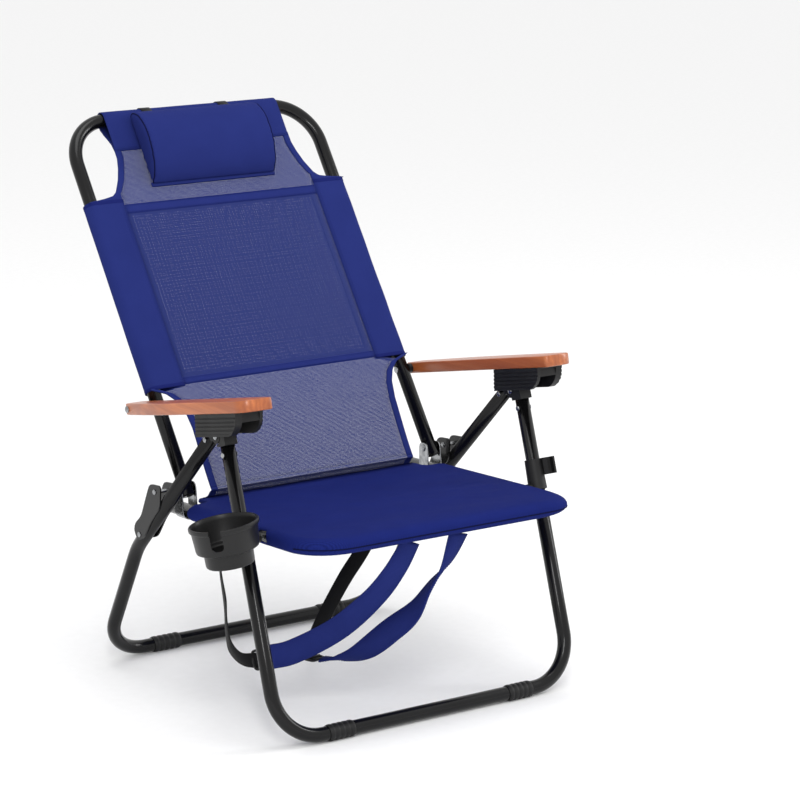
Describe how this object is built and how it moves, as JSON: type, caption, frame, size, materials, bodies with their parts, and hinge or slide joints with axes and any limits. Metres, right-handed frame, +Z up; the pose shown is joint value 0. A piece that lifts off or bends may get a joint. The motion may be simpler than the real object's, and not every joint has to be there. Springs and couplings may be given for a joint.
{
  "type": "folding beach chair",
  "caption": "Low folding beach chair: tubular frame on two U legs, reclining mesh back with pillow, fabric seat, wood armrests on notched racks, cup holder and carrying straps.",
  "frame": {"origin": "centre of the bounding box footprint, on the ground the chair stands on", "axes": "+Z up, +X the sitter's left, -Y the way the sitter faces"},
  "size_m": [0.6834, 0.7592, 0.8732],
  "materials": {
    "black_steel": "glossy powder coat",
    "zinc": "bright zinc plate",
    "black_plastic": "satin moulded",
    "wood": "varnished, satin",
    "blue_fabric": "coarse polyester weave",
    "blue_mesh": "open polyester mesh",
    "black_webbing": "woven webbing and mesh"
  },
  "bodies": {
    "front_legs": {"front_leg_tube": "black_steel", "front_foot_left": "black_plastic", "front_foot_right": "black_plastic", "hub_left": "black_plastic", "hub_right": "black_plastic", "rack_pin_left": "zinc", "rack_pin_right": "zinc", "hub_screw_left": "zinc", "hub_screw_right": "zinc", "hub_pivot_rivet_left": "zinc", "hub_pivot_rivet_right": "zinc", "seat_pivot_bolt_left": "zinc", "seat_pivot_bolt_right": "zinc", "seat_spacer_left": "black_plastic", "seat_spacer_right": "black_plastic", "cup_holder": "black_plastic", "cup_clamp": "black_plastic", "leg_clip": "black_plastic"},
    "rear_legs": {"rear_leg_tube": "black_steel", "rear_foot_left": "black_plastic", "rear_foot_right": "black_plastic", "rear_leg_cap_left": "black_plastic", "rear_leg_cap_right": "black_plastic", "rear_leg_rivet_left": "zinc", "rear_leg_rivet_right": "zinc"},
    "link_left": {"link_plate_inner_left": "black_steel", "link_plate_outer_left": "black_steel", "link_rivet_upper_left": "zinc", "link_rivet_lower_left": "zinc"},
    "link_right": {"link_plate_inner_right": "black_steel", "link_plate_outer_right": "black_steel", "link_rivet_upper_right": "zinc", "link_rivet_lower_right": "zinc"},
    "seat": {"seat_frame_tube": "black_steel", "rail_end_plug_left": "black_plastic", "rail_end_plug_right": "black_plastic", "hinge_bracket_left": "zinc", "hinge_bracket_right": "zinc", "seat_sling": "blue_fabric", "shoulder_strap_left": "blue_fabric", "shoulder_strap_right": "blue_fabric", "strap_webbing_left": "black_webbing", "strap_webbing_right": "black_webbing"},
    "back_pins": {"hinge_bolt_left": "zinc", "hinge_bolt_right": "zinc"},
    "back": {"back_frame_tube": "black_steel", "back_sling": "blue_mesh", "rear_pocket": "black_webbing", "head_pillow": "blue_fabric", "pillow_strap_left": "black_webbing", "pillow_strap_right": "black_webbing"},
    "arm_pin_left": {"armrest_bolt_left": "zinc", "armrest_spacer_left": "black_plastic"},
    "arm_pin_right": {"armrest_bolt_right": "zinc", "armrest_spacer_right": "black_plastic"},
    "armrest_left": {"armrest_left": "wood", "rack_housing_left": "black_plastic"},
    "armrest_right": {"armrest_right": "wood", "rack_housing_right": "black_plastic"}
  },
  "joints": [
    {"name": "fold", "type": "hinge", "parent": "front_legs", "child": "rear_legs", "pos_m": [0.03737, -0.17715, 0.4499], "axis": [-1, 0, 0], "range_deg": [0, 56]},
    {"name": "link_left_fold", "type": "hinge", "parent": "rear_legs", "child": "link_left", "pos_m": [0.03737, 0.04735, 0.2474], "axis": [-1, 0, 0], "range_deg": [0, 125.5]},
    {"name": "link_right_fold", "type": "hinge", "parent": "rear_legs", "child": "link_right", "pos_m": [0.03737, 0.04735, 0.2474], "axis": [-1, 0, 0], "range_deg": [0, 125.5]},
    {"name": "seat_fold", "type": "hinge", "parent": "front_legs", "child": "seat", "pos_m": [0.03737, -0.23835, 0.3034], "axis": [-1, 0, 0], "range_deg": [0, 80]},
    {"name": "back_fold", "type": "hinge", "parent": "seat", "child": "back_pins", "pos_m": [0.03737, -0.00115, 0.3261], "axis": [1, 0, 0], "range_deg": [0, 119]},
    {"name": "recline", "type": "hinge", "parent": "back_pins", "child": "back", "pos_m": [0.03737, -0.00115, 0.3261], "axis": [-1, 0, 0], "range_deg": [0, 35]},
    {"name": "armrest_left_fold", "type": "hinge", "parent": "back", "child": "arm_pin_left", "pos_m": [0.03737, 0.0794, 0.44097], "axis": [-1, 0, 0], "range_deg": [0, 129]},
    {"name": "armrest_left_follow", "type": "hinge", "parent": "arm_pin_left", "child": "armrest_left", "pos_m": [0.03737, 0.0794, 0.44097], "axis": [1, 0, 0], "range_deg": [0, 25.6]},
    {"name": "armrest_right_fold", "type": "hinge", "parent": "back", "child": "arm_pin_right", "pos_m": [0.03737, 0.0794, 0.44097], "axis": [-1, 0, 0], "range_deg": [0, 129]},
    {"name": "armrest_right_follow", "type": "hinge", "parent": "arm_pin_right", "child": "armrest_right", "pos_m": [0.03737, 0.0794, 0.44097], "axis": [1, 0, 0], "range_deg": [0, 25.6]}
  ],
  "couplings": [
    {"joint": "link_left_fold", "follows": "fold", "ratio": 2.24},
    {"joint": "link_right_fold", "follows": "fold", "ratio": 2.24},
    {"joint": "seat_fold", "follows": "fold", "ratio": 1.4285},
    {"joint": "back_fold", "follows": "fold", "ratio": 2.1248},
    {"joint": "armrest_left_fold", "follows": "fold", "ratio": 2.3034},
    {"joint": "armrest_right_fold", "follows": "fold", "ratio": 2.3034},
    {"joint": "armrest_left_follow", "follows": "recline", "ratio": 0.73},
    {"joint": "armrest_right_follow", "follows": "recline", "ratio": 0.73}
  ]
}
